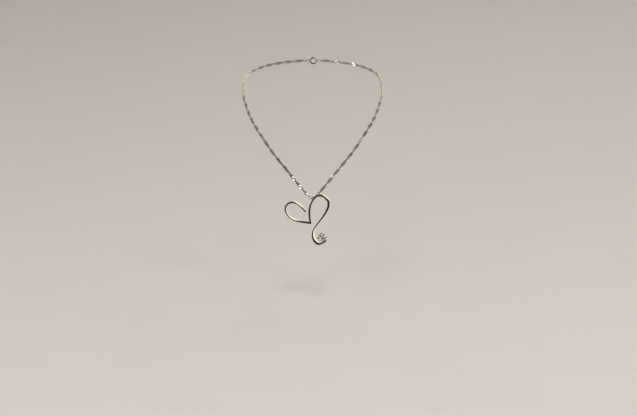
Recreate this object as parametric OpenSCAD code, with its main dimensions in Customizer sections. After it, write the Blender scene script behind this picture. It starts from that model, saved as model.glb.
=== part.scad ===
// Pendant necklace: a twisted link chain with a spring ring clasp, and an open ribbon heart
// whose tail curls under a round stone. Stored as worn, +Z up, front towards -Y, +X to the
// viewer's right. The origin is where the clasp rests on the back of the neck.

/* [Chain] */
// Wire diameter of a chain link
link_wire_d = 0.3; // [0.28:0.01:0.31]
// Outer diameter of a chain link
link_outer_d = 2.4; // [2.38:0.01:2.45]
// Turn from one link to the next about the chain's own line
link_turn = 36; // [36:1:40]
// Target distance between the centres of neighbouring links
link_pitch_target = 1.67; // [1.64:0.01:1.69]
// Turn between the two links at each fold of the drop
fold_turn = 90; // [85:1:95]

/* [Pendant] */
// Depth of the ribbon from front to back
ribbon_depth = 2.4; // [2:0.1:3]
// Height of the ribbon's back face above the chain's line
ribbon_lift = 1.95; // [1.9:0.05:2.1]
// Lean of the chest, and of the pendant that lies on it
chest_lean = 20; // [15:1:25]
// Wire diameter of the bail
bail_wire_d = 0.9; // [0.8:0.05:1]
// Inner diameter of the bail
bail_inner_d = 2.9; // [2.8:0.1:3.2]

/* [Setting] */
// Diameter of the round stone at its girdle
stone_d = 6.5; // [6:0.1:7]
// Wire diameter of the four prongs
prong_d = 0.9; // [0.7:0.05:1]
// Tilt of the stone upwards, from the pendant's face
stone_tilt = 16; // [10:1:20]

/* [Clasp] */
// Diameter of the spring ring's centre line
clasp_ring_d = 4.8; // [4.6:0.1:5.2]
// Outside diameter of the spring ring's tube
clasp_tube_d = 1.3; // [1.2:0.05:1.4]
// Diameter of the curved bolt inside the tube
clasp_bolt_d = 0.76; // [0.7:0.01:0.8]
// Wall of the spring ring's tube
clasp_wall = 0.22; // [0.2:0.01:0.25]
// Centre line diameter of the jump ring and of the clasp's catch ring
jump_ring_d = 2.8; // [2.7:0.1:3]
// Wire diameter of the jump ring, the catch ring and the clasp's eye
jump_wire_d = 0.55; // [0.5:0.05:0.6]

/* [Hidden] */
$fn = 48;
silver = [0.82, 0.81, 0.79];
bright_steel = [0.7, 0.7, 0.72];
clear_stone = [0.9, 0.94, 0.97, 0.6];

// Right half of the chain's route, from the nape over the side of the neck to the point of
// the V on the chest. The left half is its mirror image.
half_route = [[0, 0, 0], [10, -0.5, 0], [24, -4, -0.5], [38, -10.5, -1.5], [49.5, -21.5, -3.5],
    [55, -35, -6.5], [55.5, -55, -13], [53.5, -66.5, -18], [48.5, -80, -26.5], [40.5, -92, -36.5],
    [30.5, -100.5, -49], [19.5, -107, -61], [13, -110, -68.5], [8.5, -112, -73.5],
    [5, -113.5, -77.5], [2.5, -114.5, -80], [0, -115, -81]];
last = len(half_route) - 1;

// Catmull-Rom curve through the half route and its mirror: u = 0 at the nape, u = last at the
// point of the V, u = 2 * last at the nape again.
function route_point(i) = i < 0 ? route_point(i + 2 * last)
    : i > 2 * last ? route_point(i - 2 * last)
    : i > last ? half_route[2 * last - i]
    : [-half_route[i][0], half_route[i][1], half_route[i][2]];
function blend(a, b, c, d, t) = 0.5 * (2 * b + (c - a) * t
    + (2 * a - 5 * b + 4 * c - d) * t * t + (3 * b - a - 3 * c + d) * t * t * t);
function on_route(u) = let(i = floor(u), t = u - i)
    blend(route_point(i - 1), route_point(i), route_point(i + 1), route_point(i + 2), t);

// Running length along the left half, in steps of 1 / steps of a route interval
steps = 24;
walk = [for (k = 0, s = 0; k <= last * steps;
    k = k + 1, s = s + norm(on_route(k / steps) - on_route((k - 1) / steps))) s];
half_length = walk[last * steps];
function step_at(s, lo, hi) = hi - lo <= 1 ? lo
    : let(m = floor((lo + hi) / 2)) walk[m] <= s ? step_at(s, m, hi) : step_at(s, lo, m);
function left_at(s) = let(k = step_at(s, 0, last * steps),
    f = (s - walk[k]) / (walk[k + 1] - walk[k])) on_route((k + f) / steps);
function mirrored(p) = [-p[0], p[1], p[2]];
// Point at signed distance d from the point of the V, negative on the left
function at_distance(d) = d < 0 ? left_at(half_length + d) : mirrored(left_at(half_length - d));

link_r = link_wire_d / 2;
link_mean_r = link_outer_d / 2 - link_r;
jump_mean_r = jump_ring_d / 2;
jump_r = jump_wire_d / 2;
eye_mean_r = 0.8;
// Gap between two rings that hang in one another
ring_play = 0.05;
// How far the soldered eye sinks into the clasp's ring
solder = 0.1;
clasp_r = clasp_ring_d / 2;
tube_r = clasp_tube_d / 2;

// The row of rings across the nape, from the clasp's centre out to the first link each way
eye_x = -(clasp_r + tube_r + eye_mean_r + jump_r - solder);
jump_x = eye_x - (eye_mean_r - jump_r) - jump_mean_r + jump_r + ring_play;
left_reach = -jump_x + (jump_mean_r - jump_r) + link_mean_r - link_r - ring_play;
catch_x = clasp_r - tube_r - jump_r - ring_play + jump_mean_r;
right_reach = catch_x + (jump_mean_r - jump_r) + link_mean_r - link_r - ring_play;

// Links are counted from the one at the point of the V. The right side has one more, and the
// clasp sits off the middle to match.
links_left = round((half_length - (left_reach + right_reach) / 2) / link_pitch_target - 0.5);
links_right = links_left + 1;
link_pitch = (2 * half_length - left_reach - right_reach) / (links_left + links_right);
clasp_x = left_reach - (half_length - links_left * link_pitch);
// The links either side of each of these, counted from the point of the V, lie at fold_turn
// to one another: three at the sharp bend in the bail, and one at each fold of the drop
vertex_links = 3;
front_fold = 36;
side_fold = 72;
folds = [0, 1, 2, front_fold, side_fold];
start_turn = 0;
fold_extra = fold_turn - link_turn;

function unit(v) = v / norm(v);
function perpendicular(v, t) = unit(v - (v * t) * t);
// Direction away from the neck's middle line
neck_y = -55;
function outward(p) = [p[0], p[1] - neck_y, 0];
// How many folds lie between link i and the point of the V
function folds_passed(i) = sign(i) * len([for (f = folds) if (abs(i) > f) f]);
// The two end links stand square to the rings that they hang in
function turn_of(i) = i == -links_left || i == links_right ? 90
    : start_turn + i * link_turn + folds_passed(i) * fold_extra;

// Puts a child's X along the chain and its Z across it, turned about the chain
module along_chain(p, t, turn) {
    n = perpendicular(outward(p), t);
    b = cross(t, n);
    y = cos(turn) * n + sin(turn) * b;
    z = cross(t, y);
    multmatrix([[t[0], y[0], z[0], p[0]], [t[1], y[1], z[1], p[1]], [t[2], y[2], z[2], p[2]]])
        children();
}

module wire_ring(mean_r, wire_r) {
    rotate_extrude() translate([mean_r, 0]) circle(wire_r);
}

module links(from, to) {
    for (i = [from : to]) {
        s = i * link_pitch;
        half = link_pitch / 2;
        along_chain(at_distance(s), unit(at_distance(s + half) - at_distance(s - half)), turn_of(i))
            wire_ring(link_mean_r, link_r);
    }
}

module chain_nape_left() { color(silver) links(-links_left, -side_fold - 1); }
module chain_nape_right() { color(silver) links(side_fold + 1, links_right); }
module chain_side_left() { color(silver) links(-side_fold, -front_fold - 1); }
module chain_side_right() { color(silver) links(front_fold + 1, side_fold); }
module chain_front_left() { color(silver) links(-front_fold, -vertex_links); }
module chain_front_right() { color(silver) links(vertex_links, front_fold); }
module chain_vertex() { color(silver) links(1 - vertex_links, vertex_links - 1); }

// Ribbon centre line and thickness in the pendant's plane, [x, y, thickness], from the ideal
// point of the V. The left lobe runs from its free tip to the heart's sharp foot. The right
// lobe runs from the foot, over the top and down the tail, and curls under the stone.
left_lobe = [[-4.7, -8.5, 1], [-7.5, -5.1, 1.3], [-10.8, -2.2, 1.3], [-15, -0.8, 1.3],
    [-19.1, -2.5, 1.2], [-20.8, -6.3, 1.2], [-18.7, -11, 1.2], [-14.3, -14.4, 1.3],
    [-8.6, -16, 1.6], [-0.6, -17.2, 1.6]];
right_lobe = [[-1.1, -18, 1.5], [-1.7, -12.6, 1.5], [-1.9, -8, 1.6], [-0.9, -2.6, 1.4],
    [1.5, 1.8, 1.3], [6.2, 4.3, 1.5], [10.6, 2.8, 1.8], [13.3, -1.2, 2.2], [12.8, -5.6, 2],
    [9.9, -10.9, 1.4], [5.9, -16.2, 1], [2.6, -20.8, 1], [1, -24.9, 1.6], [1.6, -29.4, 2.8],
    [3.4, -32.2, 2.6], [5.5, -33.5, 1.7], [8, -32.7, 1.4], [9.8, -31.9, 1.2],
    [11.4, -30.7, 0.9]];
ribbon_steps = 6;
// Where the pendant's plane has its origin, from the chain's lowest point: the ribbon's
// shoulder has to cross the bail
pendant_shift = [-0.5, -2];
// The stone's centre in the pendant's plane, and its girdle's height in front of that plane
stone_at = [8.1, -28.4];
girdle_height = 4.3;
// The setting's two rings, and each prong's centre line as [distance from the axis, height
// from the girdle] at its foot and at its tip
base_ring_r = 1.5;
rail_r = 2.35;
rail_height = -1.4;
setting_wire_r = 0.3;
prong_base = [1.5, -3.1];
prong_tip = [3.45, 0.35];
prong_turn = 8;
claw_r = 0.62 * prong_d;
claw_bend = 0.1;
// Proportions of a round brilliant, as parts of its diameter
pavilion_part = 0.43;
table_r_part = 0.29;
crown_part = 0.155;
girdle_half = 0.12;
seat_gap = 0.01;

// A point on a strip's centre line, straight on past each end
function strip_end(list, i) = i < 0 ? 2 * list[0] - list[1]
    : i >= len(list) ? 2 * list[len(list) - 1] - list[len(list) - 2] : list[i];
function on_strip(list, u) = let(i = max(0, min(floor(u), len(list) - 2)), t = u - i)
    blend(strip_end(list, i - 1), list[i], list[i + 1], strip_end(list, i + 2), t);
// A point on a strip's edge: side is 1 for the left edge and -1 for the right
du = 0.02;
function strip_edge(list, u, side) = let(p = on_strip(list, u),
    d = on_strip(list, u + du) - on_strip(list, u - du), t = unit([d[0], d[1]]))
    [p[0], p[1]] + side * p[2] / 2 * [-t[1], t[0]];

module strip(list) {
    top = (len(list) - 1) * ribbon_steps;
    polygon(concat([for (k = [0 : top]) strip_edge(list, k / ribbon_steps, 1)],
        [for (k = [top : -1 : 0]) strip_edge(list, k / ribbon_steps, -1)]));
}

// Places a child drawn in the pendant's plane, +Z towards the front
module on_chest() {
    translate(at_distance(0)) rotate([90 - chest_lean, 0, 0])
        translate([pendant_shift[0], pendant_shift[1], 0]) children();
}

module pendant_ribbon() {
    color(silver) on_chest() translate([0, 0, ribbon_lift]) {
        linear_extrude(ribbon_depth) strip(left_lobe);
        linear_extrude(ribbon_depth) strip(right_lobe);
    }
}

// The bail is soldered to the back of the ribbon's shoulder, and the chain runs through it
module bail() {
    bail_r = bail_wire_d / 2;
    color(silver) translate(at_distance(0)) rotate([0, 90, 0])
        wire_ring(bail_inner_d / 2 + bail_r, bail_r);
}

// Places a child in the setting's frame: the girdle's centre, +Z out of the stone's table
module in_setting() {
    on_chest() translate([stone_at[0], stone_at[1], girdle_height])
        rotate(a = stone_tilt, v = [-1, 1, 0]) children();
}

module setting_base() {
    color(silver) in_setting() translate([0, 0, prong_base[1]])
        wire_ring(base_ring_r, setting_wire_r);
}

module setting_rail() {
    color(silver) in_setting() translate([0, 0, rail_height]) wire_ring(rail_r, setting_wire_r);
}

// Half section of the round brilliant, grown outwards by g
module stone_section(g) {
    r = stone_d / 2 + g;
    girdle = girdle_half + g;
    top = crown_part * stone_d + g;
    polygon([[0, -pavilion_part * stone_d - g], [r, -girdle], [r, girdle],
        [table_r_part * stone_d, top], [0, top]]);
}

module setting_prongs() {
    rise = prong_tip[1] - prong_base[1];
    lean = atan2(prong_tip[0] - prong_base[0], rise);
    reach = norm([prong_tip[0] - prong_base[0], rise]);
    color(silver) in_setting() difference() {
        for (k = [0 : 3]) rotate([0, 0, prong_turn + 90 * k]) {
            translate([prong_base[0], 0, prong_base[1]]) rotate([0, lean, 0])
                cylinder(d = prong_d, h = reach);
            translate([prong_tip[0] - claw_bend, 0, prong_tip[1] + claw_bend]) sphere(claw_r);
        }
        rotate_extrude() stone_section(seat_gap);
    }
}

module stone() {
    color(clear_stone) in_setting() rotate_extrude() stone_section(0);
}

// Spring ring clasp: angles run in the ring's plane from +X towards +Z. The mouth, the hollow
// for the spring, the seat for the bolt's nose, and the slot that the knob slides along.
gap_from = 30;
gap_to = 80;
hollow_to = 222;
seat_depth = 8;
bolt_to = 150;
slot_half = 7;
slot_height = 0.62;
trigger_at = 106;
trigger_travel = 50;
pin_r = 0.22;
knob_r = 0.42;
knob_out = 1.25;
coils = 6;
coil_r = 0.28;
coil_wire_r = 0.06;
// Clearance at each end of the spring, in degrees, and one degree past a cut's face
spring_room = 2;
past = 1;

module in_clasp() {
    translate([clasp_x, 0, 0]) rotate([90, 0, 0]) children();
}

// Part of the clasp's ring of a given section radius, between two angles
module ring_part(from, to, r) {
    rotate([0, 0, from]) rotate_extrude(angle = to - from) translate([clasp_r, 0]) circle(r);
}

module clasp_ring() {
    bore_r = tube_r - clasp_wall;
    color(silver) in_clasp() difference() {
        ring_part(gap_to, gap_from + 360, tube_r);
        ring_part(gap_to - past, hollow_to, bore_r);
        ring_part(gap_from - seat_depth, gap_from + past, bore_r);
        rotate([0, 0, trigger_at - slot_half])
            rotate_extrude(angle = trigger_travel + 2 * slot_half)
                translate([clasp_r, -slot_height / 2]) square([2 * tube_r, slot_height]);
    }
}

module clasp_eye() {
    color(silver) in_clasp() translate([eye_x, 0, 0]) wire_ring(eye_mean_r, jump_r);
}

module clasp_bolt() {
    color(silver) in_clasp()
        ring_part(gap_from - seat_depth + past, bolt_to, clasp_bolt_d / 2);
}

// The thumb knob's pin is pressed into the bolt and slides along the ring's slot
module clasp_knob() {
    color(silver) in_clasp() rotate([0, 0, trigger_at]) {
        translate([clasp_r, 0, 0]) rotate([0, 90, 0]) cylinder(r = pin_r, h = knob_out);
        translate([clasp_r + knob_out, 0, 0]) sphere(knob_r);
    }
}

module clasp_spring() {
    spring_from = bolt_to + spring_room;
    spring_step = (hollow_to - spring_room - spring_from) / (coils - 1);
    color(bright_steel) in_clasp() for (k = [0 : coils - 1])
        rotate([0, 0, spring_from + k * spring_step]) translate([clasp_r, 0, 0])
            rotate([90, 0, 0]) wire_ring(coil_r, coil_wire_r);
}

// The jump ring ties the chain's left end to the clasp's eye
module jump_ring() {
    color(silver) translate([clasp_x + jump_x, 0, 0]) wire_ring(jump_mean_r, jump_r);
}

// The catch ring ends the chain on the right, and the clasp closes through it
module catch_ring() {
    color(silver) translate([clasp_x + catch_x, 0, 0]) wire_ring(jump_mean_r, jump_r);
}

chain_nape_left();
chain_nape_right();
chain_side_left();
chain_side_right();
chain_front_left();
chain_front_right();
chain_vertex();
jump_ring();
catch_ring();
clasp_ring();
clasp_eye();
clasp_bolt();
clasp_knob();
clasp_spring();
pendant_ribbon();
bail();
setting_base();
setting_rail();
setting_prongs();
stone();
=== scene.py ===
import math

import bpy
import numpy as np
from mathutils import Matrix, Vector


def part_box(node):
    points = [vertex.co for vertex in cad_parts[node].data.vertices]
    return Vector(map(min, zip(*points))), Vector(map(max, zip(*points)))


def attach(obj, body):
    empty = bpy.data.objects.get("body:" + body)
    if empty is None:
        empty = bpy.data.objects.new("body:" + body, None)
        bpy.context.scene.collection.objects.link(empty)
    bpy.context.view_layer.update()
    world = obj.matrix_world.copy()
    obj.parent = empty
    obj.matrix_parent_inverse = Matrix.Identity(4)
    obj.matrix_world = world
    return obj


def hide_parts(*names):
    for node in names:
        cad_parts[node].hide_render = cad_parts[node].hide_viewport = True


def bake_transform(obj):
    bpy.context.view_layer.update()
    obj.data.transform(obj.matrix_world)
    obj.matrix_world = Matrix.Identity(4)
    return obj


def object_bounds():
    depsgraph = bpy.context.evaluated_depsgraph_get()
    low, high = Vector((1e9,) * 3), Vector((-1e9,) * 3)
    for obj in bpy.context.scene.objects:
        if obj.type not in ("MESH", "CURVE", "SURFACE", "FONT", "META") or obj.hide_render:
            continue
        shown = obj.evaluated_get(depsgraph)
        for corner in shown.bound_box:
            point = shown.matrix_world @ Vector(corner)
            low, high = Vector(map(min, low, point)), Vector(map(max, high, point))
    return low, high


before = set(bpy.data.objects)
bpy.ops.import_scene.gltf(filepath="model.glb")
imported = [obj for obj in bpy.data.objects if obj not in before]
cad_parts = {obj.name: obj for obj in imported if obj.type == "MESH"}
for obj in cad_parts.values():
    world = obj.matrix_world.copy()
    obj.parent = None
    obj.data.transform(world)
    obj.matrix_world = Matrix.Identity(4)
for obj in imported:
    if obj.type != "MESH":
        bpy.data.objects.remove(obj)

# Looks for the pendant necklace. Lengths are in millimetres, except where a comment says metres;
# mesh_piece() turns them into metres. The frame is the CAD's: +Z up, the front towards -Y, and the
# origin on the nape.
MM = 0.001
cad_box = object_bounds()
scene = bpy.context.scene


def unit(v):
    v = np.asarray(v, float)
    return v / np.linalg.norm(v)


# ---------------------------------------------------------------- the pendant's plane
CHEST_LEAN = math.radians(20)
# The point of the chain's V, and how far the pendant's own origin is from it
V_POINT = np.array([0, -115, -81.0])
PENDANT_SHIFT = (-0.5, -2.0)
PLANE_X = np.array([1.0, 0, 0])
PLANE_Y = np.array([0, math.sin(CHEST_LEAN), math.cos(CHEST_LEAN)])
PLANE_N = np.array([0, -math.cos(CHEST_LEAN), math.sin(CHEST_LEAN)])


def on_chest(x, y, n):
    """Points x, y in the pendant's plane and n in front of it, as points of the frame."""
    x, y, n = np.broadcast_arrays(x, y, n)
    return (V_POINT + np.multiply.outer(x + PENDANT_SHIFT[0], PLANE_X)
            + np.multiply.outer(y + PENDANT_SHIFT[1], PLANE_Y) + np.multiply.outer(n, PLANE_N))


# ---------------------------------------------------------------- camera, lights and stage
VIEW_CENTRE = (5.3, -5.5)
CAMERA_DISTANCE = 1174
cam_data = bpy.data.cameras.new("camera")
cam_data.lens, cam_data.sensor_width = 85, 36
cam_data.clip_start, cam_data.clip_end = 0.01, 60
camera = bpy.data.objects.new("camera", cam_data)
scene.collection.objects.link(camera)
camera.location = (on_chest(*VIEW_CENTRE, 0) + CAMERA_DISTANCE * PLANE_N) * MM
camera.rotation_euler = (math.radians(90) - CHEST_LEAN, 0, 0)
scene.camera = camera
scene.view_settings.view_transform = "Standard"

# The room as the metal sees it. Behind the wearer it is pale towards a window at the upper right
# and dimmer elsewhere. In front it is dark, with one dim part and the soft boxes.
PALE_ROOM, SIDE_ROOM = (1.35, 1.24, 1.12), (0.26, 0.23, 0.20)
DARK_ROOM, DIM_ROOM = (0.030, 0.022, 0.017), (0.15, 0.122, 0.10)
# Each way's colour fades in between two cosines of the angle to it
FRONT_FADE = (-0.38, -0.20)
WINDOW_WAY, WINDOW_FADE = unit(0.75 * PLANE_X + 0.66 * PLANE_Y), (-0.35, 0.35)
DIM_WAY, DIM_FADE = unit(-0.5 * PLANE_X + 0.6 * PLANE_Y + 0.6 * PLANE_N), (0.45, 0.95)
# Each soft box is [direction in the pendant's plane axes, half angle in degrees, brightness]
BOXES = [
    ((-0.62, 0.55, 0.56), 8, 4.0), ((0.72, 0.20, 0.66), 5, 4.0), ((0.12, 0.86, 0.50), 9, 3.0),
    ((-0.53, -0.39, 0.755), 9.5, 2.8), ((0.40, -0.62, 0.67), 4, 2.5),
    ((-0.16, 0.44, 0.88), 4, 4.0)]
BOX_TINT = (1, 0.975, 0.94)
BOX_FADE = 0.3
# Seen through the stone, the room is a scatter of bright patches on a dim one
SPARK_SCALE, SPARK_EDGE, SPARK_BRIGHT = 4.2, (0.29, 0.33), (2.6, 2.57, 2.75)
# What the camera sees past the floor's edge
FLOOR_FAR = (0.62, 0.60, 0.585, 1)

world = bpy.data.worlds.new("room")
scene.world = world
world.use_nodes = True
wt = world.node_tree
wt.nodes.clear()


def world_node(kind, **settings):
    node = wt.nodes.new(kind)
    for k, v in settings.items():
        setattr(node, k, v)
    return node


def facing(direction, low, high):
    """How near the room's direction is to this one: 0 at the cosine low, 1 at the cosine high."""
    dot = world_node("ShaderNodeVectorMath", operation="DOT_PRODUCT")
    dot.inputs[1].default_value = tuple(direction)
    ramp = world_node("ShaderNodeMapRange", interpolation_type="SMOOTHSTEP")
    ramp.inputs["From Min"].default_value = low
    ramp.inputs["From Max"].default_value = high
    wt.links.new(w_dir.outputs["Generated"], dot.inputs[0])
    wt.links.new(dot.outputs["Value"], ramp.inputs["Value"])
    return ramp.outputs["Result"]


def shade_mix(factor, a, b):
    """A mix of two colours of the room, each a colour or a socket."""
    mix = world_node("ShaderNodeMix", data_type="RGBA")
    wt.links.new(factor, mix.inputs["Factor"])
    for name, colour in (("A", a), ("B", b)):
        if isinstance(colour, tuple):
            mix.inputs[name].default_value = (*colour, 1)
        else:
            wt.links.new(colour, mix.inputs[name])
    return mix.outputs["Result"]


w_dir = world_node("ShaderNodeTexCoord")
w_path = world_node("ShaderNodeLightPath")
behind = shade_mix(facing(WINDOW_WAY, *WINDOW_FADE), SIDE_ROOM, PALE_ROOM)
before = shade_mix(facing(DIM_WAY, *DIM_FADE), DARK_ROOM, DIM_ROOM)
light = shade_mix(facing(PLANE_N, *FRONT_FADE), behind, before)
cells = world_node("ShaderNodeTexVoronoi")
cells.inputs["Scale"].default_value = SPARK_SCALE
wt.links.new(w_dir.outputs["Generated"], cells.inputs["Vector"])
spark = world_node("ShaderNodeMapRange")
for name, value in zip(("From Min", "From Max", "To Min", "To Max"), (*SPARK_EDGE, 1, 0)):
    spark.inputs[name].default_value = value
wt.links.new(cells.outputs["Distance"], spark.inputs["Value"])
scatter = shade_mix(spark.outputs["Result"], DIM_ROOM, SPARK_BRIGHT)
light = shade_mix(w_path.outputs["Is Transmission Ray"], light, scatter)
for (bx, by, bn), half_angle, brightness in BOXES:
    c = math.cos(math.radians(half_angle))
    way = unit(bx * PLANE_X + by * PLANE_Y + bn * PLANE_N)
    light = shade_mix(facing(way, c - BOX_FADE * (1 - c), c), light,
                      tuple(part * brightness for part in BOX_TINT))
w_bg = world_node("ShaderNodeBackground")
w_seen = world_node("ShaderNodeBackground")
w_mix = world_node("ShaderNodeMixShader")
w_out = world_node("ShaderNodeOutputWorld")
w_seen.inputs["Color"].default_value = FLOOR_FAR
wt.links.new(light, w_bg.inputs["Color"])
wt.links.new(w_path.outputs["Is Camera Ray"], w_mix.inputs["Fac"])
wt.links.new(w_bg.outputs["Background"], w_mix.inputs[1])
wt.links.new(w_seen.outputs["Background"], w_mix.inputs[2])
wt.links.new(w_mix.outputs["Shader"], w_out.inputs["Surface"])


def area_light(name, place, size, power, colour):
    """A round lamp at a place in metres, aimed at the pendant and out of sight of the metal."""
    data = bpy.data.lights.new(name, "AREA")
    data.shape, data.size, data.energy, data.color = "DISK", size, power, colour
    lamp = bpy.data.objects.new(name, data)
    scene.collection.objects.link(lamp)
    lamp.location = place
    aim = bpy.data.objects.new(name + "_aim", None)
    scene.collection.objects.link(aim)
    aim.location = V_POINT * MM
    track = lamp.constraints.new("TRACK_TO")
    track.target, track.track_axis, track.up_axis = aim, "TRACK_NEGATIVE_Z", "UP_Y"
    lamp.visible_glossy = lamp.visible_transmission = False


area_light("key", (-0.75, -0.95, 0.75), 0.22, 4.3, (1.0, 0.965, 0.92))
area_light("fill", (0.95, -0.75, 0.45), 0.2, 3.6, (1.0, 0.965, 0.93))
area_light("wash", (0.8, 0.9, 1.0), 0.4, 2.4, (1.0, 0.97, 0.94))
area_light("top", (0.05, -0.45, 1.25), 0.3, 3.2, (1.0, 0.975, 0.95))

FLOOR_DROP = 45
# In metres
FLOOR_SIDE = 24.0
floor_z = min(cad_box[0].z, cad_box[1].z) - FLOOR_DROP * MM
bpy.ops.mesh.primitive_grid_add(x_subdivisions=2, y_subdivisions=2, size=FLOOR_SIDE,
                                location=(0, 0, floor_z))
floor = bpy.context.object
floor.name = "floor"
floor.visible_glossy = False


# ---------------------------------------------------------------- materials
def new_material(name):
    """A material with one principled shader: the material, its node tree and the shader."""
    material = bpy.data.materials.new(name)
    material.use_nodes = True
    tree = material.node_tree
    tree.nodes.clear()
    out = tree.nodes.new("ShaderNodeOutputMaterial")
    shader = tree.nodes.new("ShaderNodeBsdfPrincipled")
    tree.links.new(shader.outputs["BSDF"], out.inputs["Surface"])
    return material, tree, shader


def stretched_noise(tree, stretch, scale, detail, rough=0.6):
    """A noise texture on object coordinates, with its cells stretched by a vector."""
    coord = tree.nodes.new("ShaderNodeTexCoord")
    mapping = tree.nodes.new("ShaderNodeMapping")
    mapping.inputs["Scale"].default_value = stretch
    noise = tree.nodes.new("ShaderNodeTexNoise")
    noise.inputs["Scale"].default_value = scale
    noise.inputs["Detail"].default_value = detail
    noise.inputs["Roughness"].default_value = rough
    tree.links.new(coord.outputs["Object"], mapping.inputs["Vector"])
    tree.links.new(mapping.outputs["Vector"], noise.inputs["Vector"])
    return noise


def mapped(tree, socket, low, high, to_low, to_high):
    """A socket's range mapped onto another, clamped."""
    node = tree.nodes.new("ShaderNodeMapRange")
    for i, v in zip(("From Min", "From Max", "To Min", "To Max"), (low, high, to_low, to_high)):
        node.inputs[i].default_value = v
    tree.links.new(socket, node.inputs["Value"])
    return node.outputs["Result"]


def colour_between(tree, factor, a, b, target):
    """Feeds a mix of two colours to a shader's socket."""
    mix = tree.nodes.new("ShaderNodeMix")
    mix.data_type = "RGBA"
    mix.inputs["A"].default_value = (*a, 1)
    mix.inputs["B"].default_value = (*b, 1)
    tree.links.new(factor, mix.inputs["Factor"])
    tree.links.new(mix.outputs["Result"], target)


# The metal's noises, by their cells to the metre: toning, gloss, two ways of scratches, forming
CLOUD_SCALE, WEAR_SCALE, HAIR_SCALES, SWELL_SCALE = 380, 1300, (2600, 2300), 260
# In metres
SCRATCH_HEIGHT = 0.00002
RIBBON_WAVE = 0.0003


def metal(name, light, dark, rough, scratch, grain=1.0, wave=0.0):
    """Polished metal: faint cloudy toning, a handled surface's uneven gloss, hairline scratches,
    and slow waves left by the forming, wave metres high."""
    material, tree, shader = new_material(name)
    shader.inputs["Metallic"].default_value = 1.0
    cloud = stretched_noise(tree, (1, 1, 1), CLOUD_SCALE * grain, 3)
    colour_between(tree, mapped(tree, cloud.outputs["Fac"], 0.36, 0.62, 0, 1), dark, light,
                   shader.inputs["Base Color"])
    wear = stretched_noise(tree, (1, 1.6, 0.8), WEAR_SCALE * grain, 4)
    tree.links.new(mapped(tree, wear.outputs["Fac"], 0.3, 0.72, rough[0], rough[1]),
                   shader.inputs["Roughness"])
    hair_a = stretched_noise(tree, (9, 0.7, 1.3), HAIR_SCALES[0] * grain, 2, 0.75)
    hair_b = stretched_noise(tree, (0.8, 1.1, 11), HAIR_SCALES[1] * grain, 2, 0.75)
    add = tree.nodes.new("ShaderNodeMath")
    add.operation = "ADD"
    tree.links.new(mapped(tree, hair_a.outputs["Fac"], 0.56, 0.8, 0, 1), add.inputs[0])
    tree.links.new(mapped(tree, hair_b.outputs["Fac"], 0.58, 0.8, 0, 1), add.inputs[1])
    bump = tree.nodes.new("ShaderNodeBump")
    bump.inputs["Strength"].default_value = scratch
    bump.inputs["Distance"].default_value = SCRATCH_HEIGHT
    tree.links.new(add.outputs["Value"], bump.inputs["Height"])
    if wave:
        swell = tree.nodes.new("ShaderNodeBump")
        swell.inputs["Distance"].default_value = wave
        slow = stretched_noise(tree, (1, 1, 1), SWELL_SCALE, 1)
        tree.links.new(slow.outputs["Fac"], swell.inputs["Height"])
        tree.links.new(swell.outputs["Normal"], bump.inputs["Normal"])
    tree.links.new(bump.outputs["Normal"], shader.inputs["Normal"])
    return material


chain_metal = metal("chain_silver", (0.84, 0.82, 0.79), (0.64, 0.62, 0.59), (0.05, 0.15),
                    0.08, 1.6)
ribbon_metal = metal("ribbon_silver", (0.87, 0.85, 0.82), (0.74, 0.715, 0.68), (0.04, 0.14),
                     0.10, 1.0, RIBBON_WAVE)
finding_metal = metal("finding_silver", (0.82, 0.805, 0.78), (0.64, 0.625, 0.60), (0.08, 0.22),
                      0.18, 1.4)
spring_metal = metal("spring_steel", (0.60, 0.60, 0.61), (0.46, 0.46, 0.47), (0.22, 0.38),
                     0.3, 2.5)


STONE_IOR = 2.17


def stone_material():
    """A clear stone with a faint film of handling."""
    material, tree, shader = new_material("clear_stone")
    shader.inputs["Transmission Weight"].default_value = 1.0
    shader.inputs["IOR"].default_value = STONE_IOR
    shader.inputs["Base Color"].default_value = (0.985, 0.99, 1.0, 1)
    film = stretched_noise(tree, (1, 1, 1), 900, 3)
    tree.links.new(mapped(tree, film.outputs["Fac"], 0.45, 0.75, 0.0, 0.035),
                   shader.inputs["Roughness"])
    return material


def floor_material():
    """A pale matt floor, faintly mottled."""
    material, tree, shader = new_material("floor_pale")
    mottle = stretched_noise(tree, (1, 1, 1), 14, 4)
    colour_between(tree, mottle.outputs["Fac"], (0.70, 0.675, 0.655), (0.73, 0.71, 0.69),
                   shader.inputs["Base Color"])
    shader.inputs["Roughness"].default_value = 0.85
    shader.inputs["Specular IOR Level"].default_value = 0.15
    return material


clear = stone_material()
floor.data.materials.append(floor_material())


# ---------------------------------------------------------------- mesh helpers
def mesh_piece(name, points, faces, material, body, nodes, sharp=32):
    """One piece from points in mm, smooth but for edges sharper than sharp degrees.

    body is the body it rides on, or None for a piece that rides on no body."""
    mesh = bpy.data.meshes.new(name)
    mesh.from_pydata((np.asarray(points) * MM).tolist(), [], [list(map(int, f)) for f in faces])
    mesh.validate()
    mesh.shade_smooth()
    mesh.set_sharp_from_angle(angle=math.radians(sharp))
    mesh.materials.append(material)
    piece = bpy.data.objects.new(name, mesh)
    scene.collection.objects.link(piece)
    if body:
        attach(piece, body)
    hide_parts(*nodes)
    return piece


def ring_faces(rings, sides, closed, first=0):
    """Quads of a lofted tube of rings x sides points. An open tube also gets its two end caps."""
    faces = []
    for i in range(rings if closed else rings - 1):
        a, b = first + i * sides, first + (i + 1) % rings * sides
        for k in range(sides):
            m = (k + 1) % sides
            faces.append((a + k, a + m, b + m, b + k))
    if not closed:
        faces.append([first + k for k in range(sides - 1, -1, -1)])
        faces.append([first + (rings - 1) * sides + k for k in range(sides)])
    return faces


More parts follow.
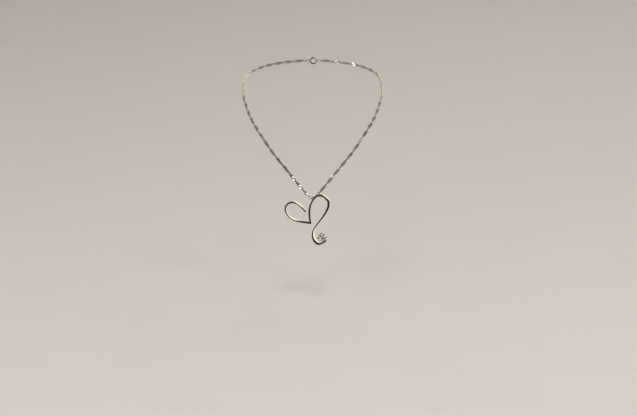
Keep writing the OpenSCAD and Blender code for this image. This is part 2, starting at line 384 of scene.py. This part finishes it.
def catmull(a, b, c, d, t):
    """A Catmull-Rom curve's point at t between b and c."""
    return 0.5 * (2 * b + (c - a) * t + (2 * a - 5 * b + 4 * c - d) * t * t
                  + (3 * b - a - 3 * c + d) * t ** 3)


def smooth_rows(rows, steps):
    """Rows of numbers, made finer with a curve through them."""
    ext = np.vstack([2 * rows[0] - rows[1], rows, 2 * rows[-1] - rows[-2]])
    return np.array([catmull(*ext[i:i + 4], k / steps)
                     for i in range(len(rows) - 1) for k in range(steps)] + [rows[-1]])


def swept(path, radius, sides):
    """Rings of a round section along a path of points, with no twist."""
    path, radius = np.asarray(path, float), np.asarray(radius, float)
    along = np.gradient(path, axis=0)
    along /= np.linalg.norm(along, axis=1)[:, None]
    side = unit(np.cross(along[0], (0.31, 0.17, 0.93) if abs(along[0][2]) < 0.9 else (1, 0, 0)))
    rings = []
    a = np.arange(sides) * 2 * math.pi / sides
    for p, t, r in zip(path, along, radius):
        side = unit(side - (side @ t) * t)
        other = np.cross(t, side)
        rings.append(p + r * (np.multiply.outer(np.cos(a), side)
                              + np.multiply.outer(np.sin(a), other)))
    return np.array(rings)


# ---------------------------------------------------------------- the chain
# The right half of the route, from the nape to the point of the V. The left is its mirror image
HALF_ROUTE = np.array([
    [0, 0, 0], [10, -0.5, 0], [24, -4, -0.5], [38, -10.5, -1.5], [49.5, -21.5, -3.5],
    [55, -35, -6.5], [55.5, -55, -13], [53.5, -66.5, -18], [48.5, -80, -26.5],
    [40.5, -92, -36.5], [30.5, -100.5, -49], [19.5, -107, -61], [13, -110, -68.5],
    [8.5, -112, -73.5], [5, -113.5, -77.5], [2.5, -114.5, -80], [0, -115, -81]])
LAST = len(HALF_ROUTE) - 1
STEPS = 24
# The middle of the neck, which the chain's turns are measured from
NECK_Y = -55
LINK_PITCH_TARGET = 1.67
# Each link turns this many degrees from the one before, and a quarter turn at the folds, which
# come after these links, counted from the point of the V
LINK_TURN = 36
FOLD_TURN = 90
FOLDS = (0, 1, 2, 36, 72)
# What the clasp and its rings take of the route, to the left and to the right of the nape
LEFT_REACH, RIGHT_REACH = 7.6, 4.8


def route_point(i):
    """Point i of the whole route, from the nape down the left half and up the right one."""
    i = i + 2 * LAST if i < 0 else i
    i = i - 2 * LAST if i > 2 * LAST else i
    x, y, z = HALF_ROUTE[2 * LAST - i if i > LAST else i]
    return np.array([x if i > LAST else -x, y, z], float)


def on_route(u):
    i = math.floor(u)
    return catmull(*(route_point(i + k) for k in (-1, 0, 1, 2)), u - i)


left_half = np.array([on_route(k / STEPS) for k in range(LAST * STEPS + 1)])
walk = np.r_[0, np.cumsum(np.linalg.norm(np.diff(left_half, axis=0), axis=1))]
HALF_LENGTH = walk[-1]


def at_distance(d):
    """The route's point at a signed distance from the point of the V, negative on the left."""
    s = HALF_LENGTH - abs(d)
    k = min(int(np.searchsorted(walk, s, side="right")) - 1, LAST * STEPS - 1)
    f = (s - walk[k]) / (walk[k + 1] - walk[k])
    p = on_route((k + f) / STEPS)
    return p if d < 0 else p * (-1, 1, 1)


links_left = round((HALF_LENGTH - (LEFT_REACH + RIGHT_REACH) / 2) / LINK_PITCH_TARGET - 0.5)
links_right = links_left + 1
link_pitch = (2 * HALF_LENGTH - LEFT_REACH - RIGHT_REACH) / (links_left + links_right)


def turn_of(i):
    """Link i's turn about the chain, in degrees."""
    if i in (-links_left, links_right):
        return 90
    passed = sum(1 for f in FOLDS if abs(i) > f) * (1 if i > 0 else -1 if i < 0 else 0)
    return i * LINK_TURN + passed * (FOLD_TURN - LINK_TURN)


def link_axes(i):
    """Link i's centre, and the directions of its length, width and thickness."""
    s = i * link_pitch
    p = at_distance(s)
    t = unit(at_distance(s + link_pitch / 2) - at_distance(s - link_pitch / 2))
    out = np.array([p[0], p[1] - NECK_Y, 0])
    n = unit(out - (out @ t) * t)
    b = np.cross(t, n)
    a = math.radians(turn_of(i))
    y = math.cos(a) * n + math.sin(a) * b
    return p, t, y, np.cross(t, y)


# Each kind of link is [half length, half width, wire radius], to the middle of the wire. Links
# next to a fold are slimmer, to leave room for the turn. The end links hang in the clasp's rings
LINK, FOLD_LINK, END_LINK = (1.28, 0.98, 0.39), (1.25, 1.0, 0.27), (1.1, 1.02, 0.2)
LINK_TWIST = -64
# The diamond cut: flats this far from a link's middle, along both edges and both faces
CUT_SIDE = 1.18
CUT_FACE = 0.24
# Sections in a link, sides in a section, and the first side's angle in degrees
LINK_RINGS, LINK_SIDES, WIRE_START = 44, 12, 15


def link_shape(kind, twist_before, twist_after):
    """A curb link about the origin: x along the chain, both halves twisted about x, cut flat."""
    half_length, half_width, wire_r = kind
    pts = []
    around = np.radians(np.arange(LINK_SIDES) * 360 / LINK_SIDES + WIRE_START)
    for k in range(LINK_RINGS):
        a = 2 * math.pi * k / LINK_RINGS
        c, s = math.cos(a), math.sin(a)
        middle = np.array([half_length * c, half_width * s])
        normal = unit((half_width * c, half_length * s))
        flat = middle + np.multiply.outer(wire_r * np.cos(around), normal)
        high = wire_r * np.sin(around)
        twist = np.radians(np.where(flat[:, 0] < 0, twist_before, twist_after)
                           * flat[:, 0] / (2 * half_length))
        wide = flat[:, 1] * np.cos(twist) - high * np.sin(twist)
        high = flat[:, 1] * np.sin(twist) + high * np.cos(twist)
        pts.append(np.c_[flat[:, 0], np.clip(wide, -CUT_SIDE, CUT_SIDE),
                         np.clip(high, -CUT_FACE, CUT_FACE)])
    return np.concatenate(pts)


LINK_FACES = np.array(ring_faces(LINK_RINGS, LINK_SIDES, True))


def chain_piece(name, node, body, first, last_link):
    """Links first to last_link as one piece. The half of a link next to a fold isn't twisted."""
    points, faces = [], []
    for i in range(first, last_link + 1):
        p, t, y, z = link_axes(i)
        end = i in (-links_left, links_right)
        fold_after = (i if i >= 0 else -i - 1) in FOLDS
        fold_before = (i - 1 if i > 0 else -i) in FOLDS
        shape = link_shape(END_LINK if end else FOLD_LINK if fold_before or fold_after else LINK,
                           0 if fold_before or end else LINK_TWIST,
                           0 if fold_after or end else LINK_TWIST)
        faces.append(LINK_FACES + len(points) * len(shape))
        points.append(p + shape @ np.array([t, y, z]))
    return mesh_piece(name, np.concatenate(points), np.concatenate(faces), chain_metal, body,
                      [node])


VERTEX_LAST, FRONT_LAST, SIDE_LAST = FOLDS[2:]
for run, body, first, last in (
        ("nape_left", "nape_run", -links_left, -SIDE_LAST - 1),
        ("nape_right", "nape_run", SIDE_LAST + 1, links_right),
        ("side_left", "side_drop", -SIDE_LAST, -FRONT_LAST - 1),
        ("side_right", "side_drop", FRONT_LAST + 1, SIDE_LAST),
        ("front_left", "front_drop", -FRONT_LAST, -VERTEX_LAST - 1),
        ("front_right", "front_drop", VERTEX_LAST + 1, FRONT_LAST),
        ("vertex", "vertex_links", -VERTEX_LAST, VERTEX_LAST)):
    chain_piece("links_" + run, "chain_" + run, body, first, last)

# ---------------------------------------------------------------- the ribbon
# [x, y, width, lean]: lean is how far the ribbon's side face shows past its front edge,
# positive on the left of the way along it
LEFT_LOBE = np.array([
    [-4.7, -8.5, 1.25, 0], [-7.5, -5.1, 1.7, -0.6], [-10.8, -2.2, 1.95, -1.2],
    [-15, -0.8, 1.6, 0], [-19.1, -2.5, 1.35, 0], [-20.8, -6.3, 1.35, 0.1],
    [-18.7, -11, 1.5, 0.5], [-14.3, -14.4, 1.8, 1.2], [-8.6, -16, 1.75, 0.2],
    [-0.6, -17.2, 1.7, 0]])
RIGHT_LOBE = np.array([
    [-1.1, -18, 1.6, 0.1], [-1.45, -15.2, 1.75, 0.6], [-1.7, -12.6, 1.65, 0.15],
    [-1.9, -8, 1.7, 0.1], [-1.6, -5.3, 1.75, 0.5], [-0.9, -2.6, 1.6, 0.4], [1.5, 1.8, 1.5, 0.1],
    [3.75, 3.75, 1.6, 0], [6.2, 4.3, 1.75, 0], [8.6, 3.95, 1.95, 0.35], [10.6, 2.8, 2.35, 1.25],
    [12.26, 0.98, 2.15, 0.45], [13.3, -1.2, 2.2, 0.2], [12.8, -5.6, 2.1, 0.25],
    [9.9, -10.9, 1.6, 0.2], [5.9, -16.2, 1.25, 0.15], [2.6, -20.8, 1.35, 0.4],
    [1, -24.9, 1.9, 0.85], [1.6, -29.4, 2.8, 1.3], [3.4, -32.2, 2.6, 0.6], [5.5, -33.5, 1.9, 0.2],
    [8, -32.7, 1.5, 0.1], [9.8, -31.9, 1.3, 0], [11.4, -30.7, 1.0, 0]])
RIBBON_LIFT, RIBBON_DEPTH = 1.95, 2.4
# The back is thinned by this much above these heights, where the chain passes behind
SHOULDER_RELIEF, RELIEF_FROM, RELIEF_TO = 1.0, 0.0, 3.2
# The mitred corner where the lobes meet, and how far from it their own sections stop
FOOT = np.array([-1.2, -17.1])
FOOT_CLEAR = 1.3
# The rounding of the edges, at most EDGE_PART of a side, and how far the sides bulge
EDGE_ROUND, EDGE_PART = 0.1, 0.42
CROWN = 0.03
# Samples between two rows, and how often the path and the widths are eased
STRIP_STEPS = 10
PATH_PASSES, WIDTH_PASSES = 22, 30
# The right lobe's first samples run up to the corner, so those behind it are left out
FOOT_SAMPLES = 20
# Each end is capped with a smaller section, this far past the last one
END_PUSH, FIRST_END, LAST_END = 0.09, 0.86, 0.82


def strip(points):
    """Samples along a strip, eased: centre, width and lean, and the direction at each."""
    rows = smooth_rows(points, STRIP_STEPS)
    for k in range(WIDTH_PASSES):
        eased = (rows[:-2] + 2 * rows[1:-1] + rows[2:]) / 4
        rows[1:-1, 2:] = eased[:, 2:]
        if k < PATH_PASSES:
            rows[1:-1, :2] = eased[:, :2]
    along = np.gradient(rows[:, :2], axis=0)
    return rows, along / np.linalg.norm(along, axis=1)[:, None]


def ribbon_section(width, lean, y):
    """The section's outline at a height y, as [distance to the left, distance to the front], with
    rounded corners and slightly crowned sides."""
    part = min(max((y - RELIEF_FROM) / (RELIEF_TO - RELIEF_FROM), 0), 1)
    half, high = width / 2, RIBBON_LIFT + RIBBON_DEPTH
    low = RIBBON_LIFT + SHOULDER_RELIEF * part * part * (3 - 2 * part)
    skew = max(lean, 0), max(-lean, 0)
    corners = np.array([[-half + skew[0], low], [half - skew[1], low],
                        [half - skew[0], high], [-half + skew[1], high]])
    out = []
    for k in range(4):
        here, before, after = corners[k], corners[k - 1], corners[(k + 1) % 4]
        cut = [here + unit(q - here) * min(EDGE_ROUND, EDGE_PART * np.linalg.norm(q - here))
               for q in (before, after)]
        for t in (0, 0.33, 0.67, 1):
            out.append((1 - t) ** 2 * cut[0] + 2 * t * (1 - t) * here + t * t * cut[1])
        middle = (here + after) / 2
        out.append(middle + CROWN * unit((after - here)[::-1] * (1, -1)))
    return np.array(out)


def ribbon():
    """The ribbon in one loft: the left lobe from its free tip, the mitred foot, the right lobe."""
    rings = []

    def add(centre, left, width, lean, along=(0, 0), push=0.0, size=1.0):
        sec = ribbon_section(width, lean, centre[1])
        mid = np.array([0, RIBBON_LIFT + RIBBON_DEPTH / 2])
        sec = mid + (sec - mid) * size
        xy = centre + np.multiply.outer(sec[:, 0], left) + np.asarray(along) * push
        rings.append(on_chest(xy[:, 0], xy[:, 1], sec[:, 1]))

    def left_of(t):
        return np.array([-t[1], t[0]])

    rows, along = strip(LEFT_LOBE)
    keep = [k for k in range(len(rows)) if np.linalg.norm(rows[k, :2] - FOOT) > FOOT_CLEAR
            and (rows[k, :2] - FOOT) @ along[-1] < 0]
    add(rows[0, :2], left_of(along[0]), rows[0, 2], rows[0, 3], along[0], -END_PUSH, FIRST_END)
    for k in keep:
        add(rows[k, :2], left_of(along[k]), rows[k, 2], rows[k, 3])
    before = left_of(along[-1])
    rows2, along2 = strip(RIGHT_LOBE)
    after = left_of(along2[0])
    mitre = (before + after) / (1 + before @ after)
    add(FOOT, mitre, (rows[-1, 2] + rows2[0, 2]) / 2, 0)
    keep = [k for k in range(len(rows2)) if np.linalg.norm(rows2[k, :2] - FOOT) > FOOT_CLEAR
            and (k > FOOT_SAMPLES or (rows2[k, :2] - FOOT) @ along2[0] > 0)]
    for k in keep:
        add(rows2[k, :2], left_of(along2[k]), rows2[k, 2], rows2[k, 3])
    add(rows2[-1, :2], left_of(along2[-1]), rows2[-1, 2], rows2[-1, 3], along2[-1], END_PUSH,
        LAST_END)
    sides = len(rings[0])
    return np.concatenate(rings), ring_faces(len(rings), sides, False)


points, faces = ribbon()
mesh_piece("ribbon", points, faces, ribbon_metal, "pendant", ["pendant_ribbon"],
           sharp=26)

# ---------------------------------------------------------------- the stone and its setting
STONE_AT = (8.1, -28.4)
GIRDLE_HEIGHT = 4.3
STONE_TILT = math.radians(16)
STONE_R = 3.25
GIRDLE_HALF = 0.1
TABLE_R, TABLE_Z = 0.58 * STONE_R, 0.31 * STONE_R
CULET_Z = -0.86 * STONE_R
# Where the star facets' and the lower girdle facets' points are
STAR_R, LOW_R = 0.80 * STONE_R, 0.24 * STONE_R


def in_setting(p):
    """Points in the setting's frame, z out of the stone's table, as points of the frame."""
    p = np.asarray(p, float)
    k = unit((-1, 1, 0))
    c, s = math.cos(STONE_TILT), math.sin(STONE_TILT)
    turned = p * c + np.cross(k, p) * s + np.multiply.outer(p @ k, k) * (1 - c)
    return on_chest(turned[:, 0] + STONE_AT[0], turned[:, 1] + STONE_AT[1],
                    turned[:, 2] + GIRDLE_HEIGHT)


def brilliant():
    """A round brilliant: table, 8 stars, 8 kites, 16 upper and 16 lower girdle facets, 8 mains."""
    r, g = STONE_R, GIRDLE_HALF
    cos_half = math.cos(math.radians(22.5))
    star_z = TABLE_Z - (STAR_R * cos_half - TABLE_R) * (TABLE_Z - g) / (r - TABLE_R)
    low_z = CULET_Z + LOW_R * cos_half * (-g - CULET_Z) / r

    def circle(radius, z, count, start):
        a = np.radians(np.arange(count) * 360 / count + start)
        return [(radius * math.cos(v), radius * math.sin(v), z) for v in a]

    pts = circle(TABLE_R, TABLE_Z, 8, 0) + circle(STAR_R, star_z, 8, 22.5) \
        + circle(r, g, 16, 0) + circle(r, -g, 16, 0) + circle(LOW_R, low_z, 8, 22.5) \
        + [(0, 0, CULET_Z)]
    # The first point of each circle, after the table's
    star, top, bottom, low, culet = 8, 16, 32, 48, 56
    f = [list(range(8))]
    for k in range(8):
        n, b = (k + 1) % 8, (k - 1) % 8
        f.append([k, star + k, n])
        f.append([k, star + b, top + 2 * k, star + k])
        f.append([star + k, top + 2 * k, top + 2 * k + 1])
        f.append([star + k, top + 2 * k + 1, top + 2 * n])
        f.append([low + k, bottom + 2 * k + 1, bottom + 2 * k])
        f.append([low + k, bottom + 2 * n, bottom + 2 * k + 1])
        f.append([culet, low + k, bottom + 2 * k, low + b])
    for k in range(16):
        m = (k + 1) % 16
        f.append([top + k, bottom + k, bottom + m, top + m])
    return in_setting(pts), f


points, faces = brilliant()
mesh_piece("brilliant", points, faces, clear, "pendant", ["stone"], sharp=1)

PRONG_TURN = 8
PRONG_STEPS, PRONG_SIDES = 4, 16
# [distance from the axis, height, wire radius] along a prong, from its foot to its claw
PRONG = np.array([
    [1.45, -3.15, 0.34], [1.62, -2.9, 0.46], [2.15, -1.95, 0.46], [2.85, -0.8, 0.48],
    [3.42, 0.05, 0.50], [3.54, 0.34, 0.52], [3.40, 0.66, 0.51], [3.10, 0.84, 0.44],
    [2.74, 0.95, 0.36], [2.46, 1.02, 0.27], [2.30, 1.05, 0.12]])
# How far the prongs' seats stand off the stone
SEAT_GAP = 0.01


def seated(p):
    """Points of a prong, pushed out of the stone to make the prong's seat."""
    crown = STONE_R - (p[:, 2] - GIRDLE_HALF) * (STONE_R - TABLE_R) / (TABLE_Z - GIRDLE_HALF)
    pavilion = STONE_R * (p[:, 2] - CULET_Z) / (-GIRDLE_HALF - CULET_Z)
    stone_r = np.clip(np.minimum(crown, pavilion), 0, STONE_R) + SEAT_GAP
    out = np.hypot(p[:, 0], p[:, 1])
    grow = np.where((p[:, 2] < TABLE_Z) & (out < stone_r), stone_r / out, 1)
    return p * np.c_[grow, grow, np.ones(len(p))]


def prongs():
    """Four prongs, each swept along the rows of PRONG in its own upright plane."""
    rows = smooth_rows(PRONG, PRONG_STEPS)
    points, faces = [], []
    for k in range(4):
        a = math.radians(PRONG_TURN + 90 * k)
        path = np.c_[rows[:, 0] * math.cos(a), rows[:, 0] * math.sin(a), rows[:, 1]]
        rings = swept(path, rows[:, 2], PRONG_SIDES)
        faces += ring_faces(len(rings), PRONG_SIDES, False, sum(map(len, points)))
        points.append(in_setting(seated(rings.reshape(-1, 3))))
    return np.concatenate(points), faces


points, faces = prongs()
mesh_piece("prongs", points, faces, finding_metal, "pendant", ["setting_prongs"],
           sharp=40)

# ---------------------------------------------------------------- the clasp's rings and spring
# The cut where a ring was closed: its middle and half its width in degrees, and how much the wire
# narrows there
SEAM_AT, SEAM_HALF, SEAM_TAPER = -70, 0.9, 0.9
RING_STEPS, RING_SIDES = 97, 20


def split_ring(node, body):
    """A ring of round wire with the fine cut where it was closed."""
    low, high = (np.array(v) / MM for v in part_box(node))
    middle, wire_r = (low + high) / 2, (high - low)[2] / 2
    a = np.radians(np.linspace(SEAM_AT + SEAM_HALF, SEAM_AT + 360 - SEAM_HALF, RING_STEPS))
    r = (high - low)[0] / 2 - wire_r
    path = middle + r * np.c_[np.cos(a), np.sin(a), 0 * a]
    taper = np.r_[SEAM_TAPER, np.ones(RING_STEPS - 2), SEAM_TAPER]
    rings = swept(path, taper * wire_r, RING_SIDES)
    mesh_piece(node + "_cut", rings.reshape(-1, 3), ring_faces(len(rings), RING_SIDES, False),
               finding_metal, body, [node], sharp=40)


split_ring("jump_ring", "jump_ring")
split_ring("catch_ring", "catch_ring")

# Angles run round the clasp from +X towards +Z. The bolt's tail is at 150 degrees. The spring
# is wound from SPRING_FROM to SPRING_TO and rides on no body
CLASP_X, CLASP_R = 0.5639, 2.4
SPRING_FROM, SPRING_TO = 218, 155
COIL_R, COIL_WIRE_R, COIL_TURNS = 0.27, 0.055, 8
COIL_STEPS, COIL_SIDES = 18, 8


def on_clasp(angle, out=0.0, across=0.0):
    """Points round the clasp ring, off the middle of its wire by out and across."""
    a = np.radians(angle)
    return np.stack([CLASP_X + (CLASP_R + out) * np.cos(a), across + 0 * a,
                     (CLASP_R + out) * np.sin(a)], -1)


part = np.linspace(0, 1, COIL_TURNS * COIL_STEPS + 1)
turn = part * COIL_TURNS * 2 * math.pi
path = on_clasp(SPRING_FROM + (SPRING_TO - SPRING_FROM) * part, COIL_R * np.cos(turn),
                COIL_R * np.sin(turn))
rings = swept(path, np.full(len(path), COIL_WIRE_R), COIL_SIDES)
spring = mesh_piece("coil_spring", rings.reshape(-1, 3), ring_faces(len(rings), COIL_SIDES, False),
                    spring_metal, None, ["clasp_spring"], sharp=60)
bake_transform(spring)

# The nodes that show as the CAD has them
for node in ("setting_base", "setting_rail", "bail", "clasp_ring", "clasp_eye", "clasp_bolt",
             "clasp_knob"):
    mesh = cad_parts[node].data
    mesh.materials.clear()
    mesh.materials.append(finding_metal)
